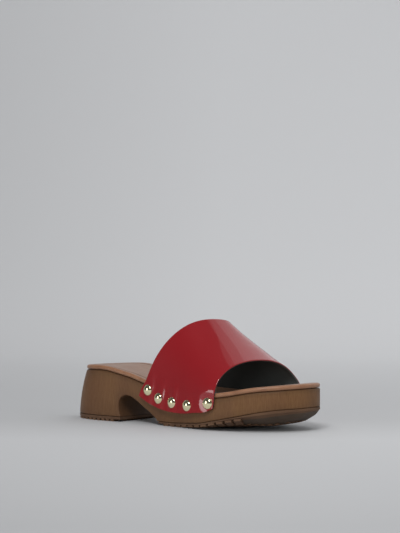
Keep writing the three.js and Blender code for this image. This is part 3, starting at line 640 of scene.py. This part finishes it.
def band_outer(turn, share):
    turn, share = np.broadcast_arrays(turn, share)
    side = np.where(turn < HALF_TURN / 2, -1, 1)
    x = band_back(turn) + (band_front(turn) - band_back(turn)) * share
    base = np.where(side < 0, beside_side(-1, x, GAP + WALL), beside_side(1, x, GAP + WALL))
    past = np.clip(np.maximum(-turn, turn - HALF_TURN) / SKIRT_TURN, 0, None)
    angle = np.radians(np.clip(turn, 0, HALF_TURN))
    power = 2 / np.where(side < 0, FULLNESS[-1], FULLNESS[1])
    spread = np.abs(np.cos(angle)) ** power
    climb = np.abs(np.sin(angle)) ** power
    y = ridge_shift(x) + (side * base - ridge_shift(x)) * spread
    z = insole_top(x) + (instep_part(x) + toe_part(x)) * climb - past * (INSOLE_THICKNESS + skirt_drop(share))
    return np.stack([x, y, z], -1)


seat_points = []
for side in (-1, 1):
    corner = -SKIRT_TURN if side < 0 else HALF_TURN + SKIRT_TURN
    for nail_along, nail_drop in NAILS:
        x = band_back(corner) + (band_front(corner) - band_back(corner)) * nail_along
        outward = np.array([-side_slope(side, x), side, 0])
        outward /= np.linalg.norm(outward)
        y = side * beside_side(side, x, GAP + WALL + GAP)
        seat_points.append((side, np.array([x, y, top_line(x) - nail_drop * SKIRT]), outward))

ACROSS, LENGTHWISE, SKIRT_ROWS, SKIN = 190, 130, 32, 0.7
band_turn = np.concatenate([np.linspace(-SKIRT_TURN, 0, SKIRT_ROWS)[:-1], np.linspace(0, HALF_TURN, ACROSS),
                            np.linspace(HALF_TURN, HALF_TURN + SKIRT_TURN, SKIRT_ROWS)[1:]])
run_length = band_front(band_turn) - band_back(band_turn)
# distance from the cut edge, depth under the outer face
CUT_EDGE = [(0.5, 0), (0.25, 0.07), (0.07, 0.25), (0, 0.5), (0, SKIN), (0.12, SKIN + 0.1), (0.12, 1.5),
            (0.4, WALL)]


def band_grid(distance):
    """Points and inward directions of the outer face, at distances from the back edge."""
    turn = band_turn[:, None]
    share = distance / run_length[:, None]
    low, high = np.maximum(turn - 0.4, -SKIRT_TURN), np.minimum(turn + 0.4, HALF_TURN + SKIRT_TURN)
    across = band_outer(high, share) - band_outer(low, share)
    lengthwise = band_outer(turn, share + 0.01) - band_outer(turn, share - 0.01)
    inward = np.cross(across, lengthwise)
    return band_outer(turn, share), inward / np.linalg.norm(inward, axis=-1, keepdims=True)


def evened(grid):
    """The leather rounds off the ridge: an average over neighbouring turns, above the skirts."""
    reach, softness, ridge_half, blend = 14, 7, 50, 25
    kernel = np.exp(-(np.arange(-reach, reach + 1) / softness) ** 2)
    kernel /= kernel.sum()
    padded = np.pad(grid, ((reach, reach), (0, 0), (0, 0)), mode="edge")
    soft = sum(weight * padded[k:k + len(grid)] for k, weight in enumerate(kernel))
    part = np.clip((np.abs(band_turn - HALF_TURN / 2) - ridge_half) / blend, 0, 1)[:, None, None]
    part = part * part * (3 - 2 * part)
    return grid * part + soft * (1 - part)


back_spots = np.array(CUT_EDGE[::-1])
front_spots = np.array(CUT_EDGE)
middle_spots = np.linspace(0, 1, LENGTHWISE)[1:-1]
length = run_length[:, None]
distance = np.concatenate([back_spots[None, :, 0] + 0 * length, 0.5 + (length - 1) * middle_spots,
                           length - front_spots[None, :, 0]], 1)
depth = np.concatenate([back_spots[:, 1], 0 * middle_spots, front_spots[:, 1]])[None, :, None]
outer_face, inward = band_grid(distance)
outer_face, inward = evened(outer_face), evened(inward)
inward /= np.linalg.norm(inward, axis=-1, keepdims=True)

# The leather flares towards its lower edge. It swells behind each of the back nails and falls
# away past it, and the front nail, close to the edge, draws it into a round dip.
FLARE, FLARE_START, SWELL, RISE_LENGTH, FALL_LENGTH = 0.1, 4, 0.5, 9, 7
DIP, DIP_RADIUS, NAIL_PRESS = 1.4, 10.5, 0.6
FLARE_TOP, FLARE_BLEND, SWELL_TOP, SWELL_BLEND, SWELL_LEAN, DIP_SOFT = 14, 12, 19, 11, 0.1, 0.04
# for each of the back nails: how far past it the swell falls away, and the swell's share
FALL_AT = (6.5, 6.5, 5.5, 5)
SWELL_PART = (1.1, 1.5, 1.9, 0.4)
eased = lambda t: np.clip(t, 0, 1) ** 2 * (3 - 2 * np.clip(t, 0, 1))


def relief_at(x, z, side):
    """How far the leather stands out from its plain shape."""
    drop = insole_top(x) - z
    relief = FLARE * (drop + np.hypot(drop, FLARE_START)) / 2 * eased((drop + FLARE_TOP) / FLARE_BLEND)
    for k, (nail_side, seat, _) in enumerate(seat_points):
        row, near = k % len(NAILS), np.where(side == nail_side, 1, 0)
        if row < len(SWELL_PART):
            past = x - seat[0] - SWELL_LEAN * (z - seat[2]) - FALL_AT[row]
            swell = eased(1 + (past + FALL_LENGTH / 2) / RISE_LENGTH) * eased(0.5 - past / FALL_LENGTH)
            fade = eased((seat[2] + SWELL_TOP - z) / SWELL_BLEND)
            fade = fade * (0.85 + 0.15 * eased((z - seat[2] + 4) / 8))
            relief = relief + SWELL * SWELL_PART[row] * near * swell * fade
        else:
            inside = 1 - np.hypot(x - seat[0], z - seat[2]) / DIP_RADIUS
            relief = relief - DIP * near * (inside + np.hypot(inside, DIP_SOFT)) / 2
    return relief


relief = relief_at(outer_face[..., 0], outer_face[..., 2], np.where(outer_face[..., 1] < 0, -1, 1))
shell = outer_face + inward * (depth - relief[..., None])
first, last = len(back_spots), len(back_spots) + len(middle_spots)
hollow = shell[:, first:last] + inward[:, first:last] * WALL
band_ring = np.concatenate([shell, hollow[:, ::-1]], 1)
ring_size = band_ring.shape[1]
inner_of = lambda k: ring_size - 1 - (k - first)
end_faces = [(k, k + 1, inner_of(k + 1), inner_of(k)) for k in range(first, last - 1)]
end_faces.append([*range(last - 1, last + len(front_spots)), inner_of(last - 1)])
end_faces.append([*range(0, first + 1), inner_of(first)])
band_mesh = lofted("patent_band", band_ring, end_faces)
# the patent skin wraps this many faces of the cut edges; all the other faces are lining
BACK_SKIN, FRONT_SKIN = 5, 4
lined = [k for k in range(ring_size) if not first - BACK_SKIN <= k < last + FRONT_SKIN]
for k in lined:
    for ring in range(len(band_turn) - 1):
        band_mesh.polygons[ring * ring_size + k].material_index = 1


def patent_finish():
    material, tree, shader = new_material("red_patent_leather", (0.25, 0.007, 0.011), 0.4,
                                          Specular_IOR_Level=0.15, Coat_Weight=1, Coat_Roughness=0.06,
                                          Coat_IOR=1.6)
    waves = streaks(tree, 120, 25)
    bumped(tree, shader, waves["Tone"], 0.2, 0.0006)
    tree.links.new(ranged(tree, waves["Streaks"], (0.3, 0.7), (0.36, 0.44)), shader.inputs["Roughness"])
    return material


def lining_finish():
    material, tree, shader = new_material("black_lining", (0.06, 0.066, 0.064), 0.8, Specular_IOR_Level=0.2)
    bumped(tree, shader, streaks(tree, 1200, 60)["Streaks"], 0.4, 0.0002)
    return material


band = finished("patent_band", band_mesh, sharp=50)
band.data.materials.append(patent_finish())
band.data.materials.append(lining_finish())
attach(band, "root")
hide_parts("upper_band")

# Nails: ten polished dome heads of pale gold, five on each side, driven through the band into
# the platform. Each presses the leather in a little, so it stands lower than the swell beside it.
DOME_RADIUS, DOME_HEIGHT = 5.2, 3


def nail_tree():
    """Smooth domes; the lower half of each is sunk in the leather."""
    tree, given, leave = growing_tree("dome_nails", ("Radius", "Height"), "Metal")
    ball = add_node(tree, "GeometryNodeMeshUVSphere", inputs={"Segments": 40, "Rings": 24, "Radius": 1})
    size = add_node(tree, "ShaderNodeCombineXYZ", {"X": given["Radius"], "Y": given["Radius"], "Z": given["Height"]})
    dome = add_node(tree, "GeometryNodeTransform", {"Geometry": ball.outputs["Mesh"], "Scale": size.outputs[0]})
    smooth = add_node(tree, "GeometryNodeSetShadeSmooth", {"Geometry": dome.outputs[0]})
    tree.links.new(on_points(tree, given["Geometry"], smooth.outputs[0], given["Metal"]), leave.inputs[0])
    return tree


def gold_finish():
    material, tree, shader = new_material("pale_gold", (1, 0.93, 0.6), 0.12, metallic=1)
    rub = streaks(tree, 500, 80)
    tree.links.new(ranged(tree, rub["Streaks"], (0.3, 0.7), (0.08, 0.18)), shader.inputs["Roughness"])
    return material


turns = [(math.pi / 2, 0, math.atan2(outward[1], outward[0]) + math.pi / 2) for _, _, outward in seat_points]
stands = [seat + outward * relief_at(seat[0], seat[2], side) * (1 - NAIL_PRESS)
          for side, seat, outward in seat_points]
nails = grown("dome_nails", stands, turns, nail_tree(),
              {"Radius": DOME_RADIUS * 0.001, "Height": DOME_HEIGHT * 0.001, "Metal": gold_finish()})
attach(nails, "root")
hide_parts(*[f"nail_{side}_{k}" for side in ("outer", "inner") for k in range(1, 6)])

# Stage: a pale grey paper sweep under and behind the sandal. The patent mirrors a key light over
# the camera, a small card at the left, a hazy window at the right and a patch of sky behind; the
# fills and the wash on the paper leave no mirror image.
TURNED = math.radians(38.32)
RIGHT = np.array([math.cos(TURNED), math.sin(TURNED), 0])
BACK = np.array([-math.sin(TURNED), math.cos(TURNED), 0])
UP = np.array([0.0, 0.0, 1.0])
PAPER_REACH, PAPER_BACK, PAPER_TOP, PAPER_BEND = 4, 2.4, 3.6, 1.1
profile = [(-PAPER_REACH, 0)]
profile += [(PAPER_BACK + PAPER_BEND * (math.sin(a) - 1), PAPER_BEND * (1 - math.cos(a)))
            for a in np.linspace(0, math.pi / 2, 40)]
profile += [(PAPER_BACK, PAPER_TOP)]
sweep = bpy.data.meshes.new("paper_sweep")
sweep.from_pydata([tuple(RIGHT * x + BACK * y + UP * z) for x in (-PAPER_REACH, PAPER_REACH)
                   for y, z in profile], [],
                  [(k, k + len(profile), k + len(profile) + 1, k + 1) for k in range(len(profile) - 1)])
sweep.shade_smooth()
paper = bpy.data.objects.new("paper_sweep", sweep)
bpy.context.scene.collection.objects.link(paper)

# metres behind the sandal, painted light and shade of the paper there
PAPER_LIGHT_BY_DEPTH = [(-0.54, 0.88), (-0.45, 0.95), (-0.27, 1.05), (-0.14, 1.12), (0.03, 1), (0.65, 1.02), (1.2, 1),
               (2.4, 0.95)]
PAPER_SHADE, TONES_FROM, TONES_TO, CAMERA_BACK = 0.9, -0.6, 2.4, 1.15
paper_material, paper_tree, paper_shader = new_material("grey_paper", (0.5, 0.506, 0.518), 0.9)
place = add_node(paper_tree, "ShaderNodeTexCoord").outputs["Object"]
behind, aside = (add_node(paper_tree, "ShaderNodeVectorMath", {0: place}, operation="DOT_PRODUCT",
                          inputs={1: tuple(way)}).outputs["Value"] for way in (BACK, RIGHT))
# the paper glows a little behind the sandal and more near the camera and past it: painted light, as the paper is no
# lamp
glow_behind, glow_before = (ranged(paper_tree, behind, span, (0, most), interpolation_type="SMOOTHSTEP")
                            for span, most in (((0.0, 1.9), 0.2), ((-0.9, -3.2), 0.42)))
glow = add_node(paper_tree, "ShaderNodeMath", {0: glow_behind, 1: glow_before}, operation="ADD")
depth_light = add_node(paper_tree, "ShaderNodeValToRGB",
                      {"Fac": ranged(paper_tree, behind, (TONES_FROM, TONES_TO), (0, 1))})
stops = depth_light.color_ramp.elements
for k, (at, tone) in enumerate(PAPER_LIGHT_BY_DEPTH):
    position = (at - TONES_FROM) / (TONES_TO - TONES_FROM)
    stop = stops[k] if k < 2 else stops.new(position)
    stop.position, stop.color = position, (*[tone * PAPER_SHADE] * 3, 1)
# towards the image's left the paper is painted darker: painted shade
away = add_node(paper_tree, "ShaderNodeMath", {0: behind}, operation="ADD", inputs={1: CAMERA_BACK})
slant = add_node(paper_tree, "ShaderNodeMath", {0: aside, 1: away.outputs[0]}, operation="DIVIDE")
side_shade = ranged(paper_tree, slant.outputs[0], (-0.18, 0.02), (0.9, 1))
painted_paper_light = add_node(paper_tree, "ShaderNodeMath", {0: depth_light.outputs["Color"], 1: side_shade},
                      operation="MULTIPLY")
for socket, color in (("Base Color", (0.555, 0.562, 0.575)), ("Emission Color", (1.08, 1.09, 1.11))):
    tinted = add_node(paper_tree, "ShaderNodeVectorMath", {0: painted_paper_light.outputs[0]}, operation="MULTIPLY",
                      inputs={1: color})
    paper_tree.links.new(tinted.outputs[0], paper_shader.inputs[socket])
paper_tree.links.new(glow.outputs[0], paper_shader.inputs["Emission Strength"])
paper.data.materials.append(paper_material)


def soft_light(name, azimuth, elevation, distance, size, power, mirrored=True, aim=(0, 0, 0.04)):
    """An area light; azimuth 0 is on the camera's side of the sandal and 90 at the image's right."""
    side, high = math.radians(azimuth), math.radians(elevation)
    level = RIGHT * math.sin(side) - BACK * math.cos(side)
    place = Vector(level * math.cos(high) + UP * math.sin(high))
    light = bpy.data.lights.new(name, "AREA")
    light.shape, light.size, light.size_y, light.energy = "RECTANGLE", size[0], size[1], power
    lamp = bpy.data.objects.new(name, light)
    lamp.location = place * distance
    lamp.rotation_euler = (Vector(aim) - lamp.location).to_track_quat("-Z", "Y").to_euler()
    lamp.visible_glossy = mirrored
    bpy.context.scene.collection.objects.link(lamp)


soft_light("key_front", -10, 46, 2.6, (0.85, 0.75), 30)
soft_light("fill_front", -25, 8, 2.4, (1.4, 0.8), 13, mirrored=False)
soft_light("card_left", -69, 9, 1.3, (0.32, 0.42), 1.5)
soft_light("window_right", 116, 38, 2.0, (3.4, 2.0), 6)
soft_light("window_haze", 118, 42, 2.1, (4.8, 3.0), 11)
soft_light("sky_behind", 172, 68, 2.2, (1.7, 1.0), 1.3)
soft_light("fill_right", 45, 18, 2.2, (1.2, 0.9), 7, mirrored=False)
soft_light("fill_above", 0, 88, 2.2, (2.4, 2.4), 3, mirrored=False)
soft_light("paper_wash", 0, 80, 2.6, (3, 1), 20, mirrored=False, aim=tuple(BACK * 2.2 + UP * 0.4))
world = bpy.data.worlds.new("studio")
bpy.context.scene.world = world
world.use_nodes = True
room = world.node_tree
seen = add_node(room, "ShaderNodeLightPath")
shade = add_node(room, "ShaderNodeMix", {0: seen.outputs["Is Camera Ray"]}, data_type="RGBA")
for end, color in ((6, (0.085, 0.087, 0.09, 1)), (7, (0.53, 0.54, 0.56, 1))):
    shade.inputs[end].default_value = color
room.links.new(shade.outputs[2], room.nodes["Background"].inputs["Color"])

# Camera: held level, a little above the top of the band, ahead of the toe and on the outer side.
# The lens is long, and shifted so that the sandal sits low in the picture.
lens = bpy.data.cameras.new("photo_view")
lens.sensor_fit, lens.sensor_height, lens.lens, lens.shift_y = "VERTICAL", 36, 84.36, 38 / 533
camera = bpy.data.objects.new("photo_view", lens)
camera.location = (0.72165, -0.8993, 0.1094)
camera.rotation_euler = (math.pi / 2, 0, TURNED)
bpy.context.scene.collection.objects.link(camera)
bpy.context.scene.camera = camera
bpy.context.scene.view_settings.view_transform = "Standard"
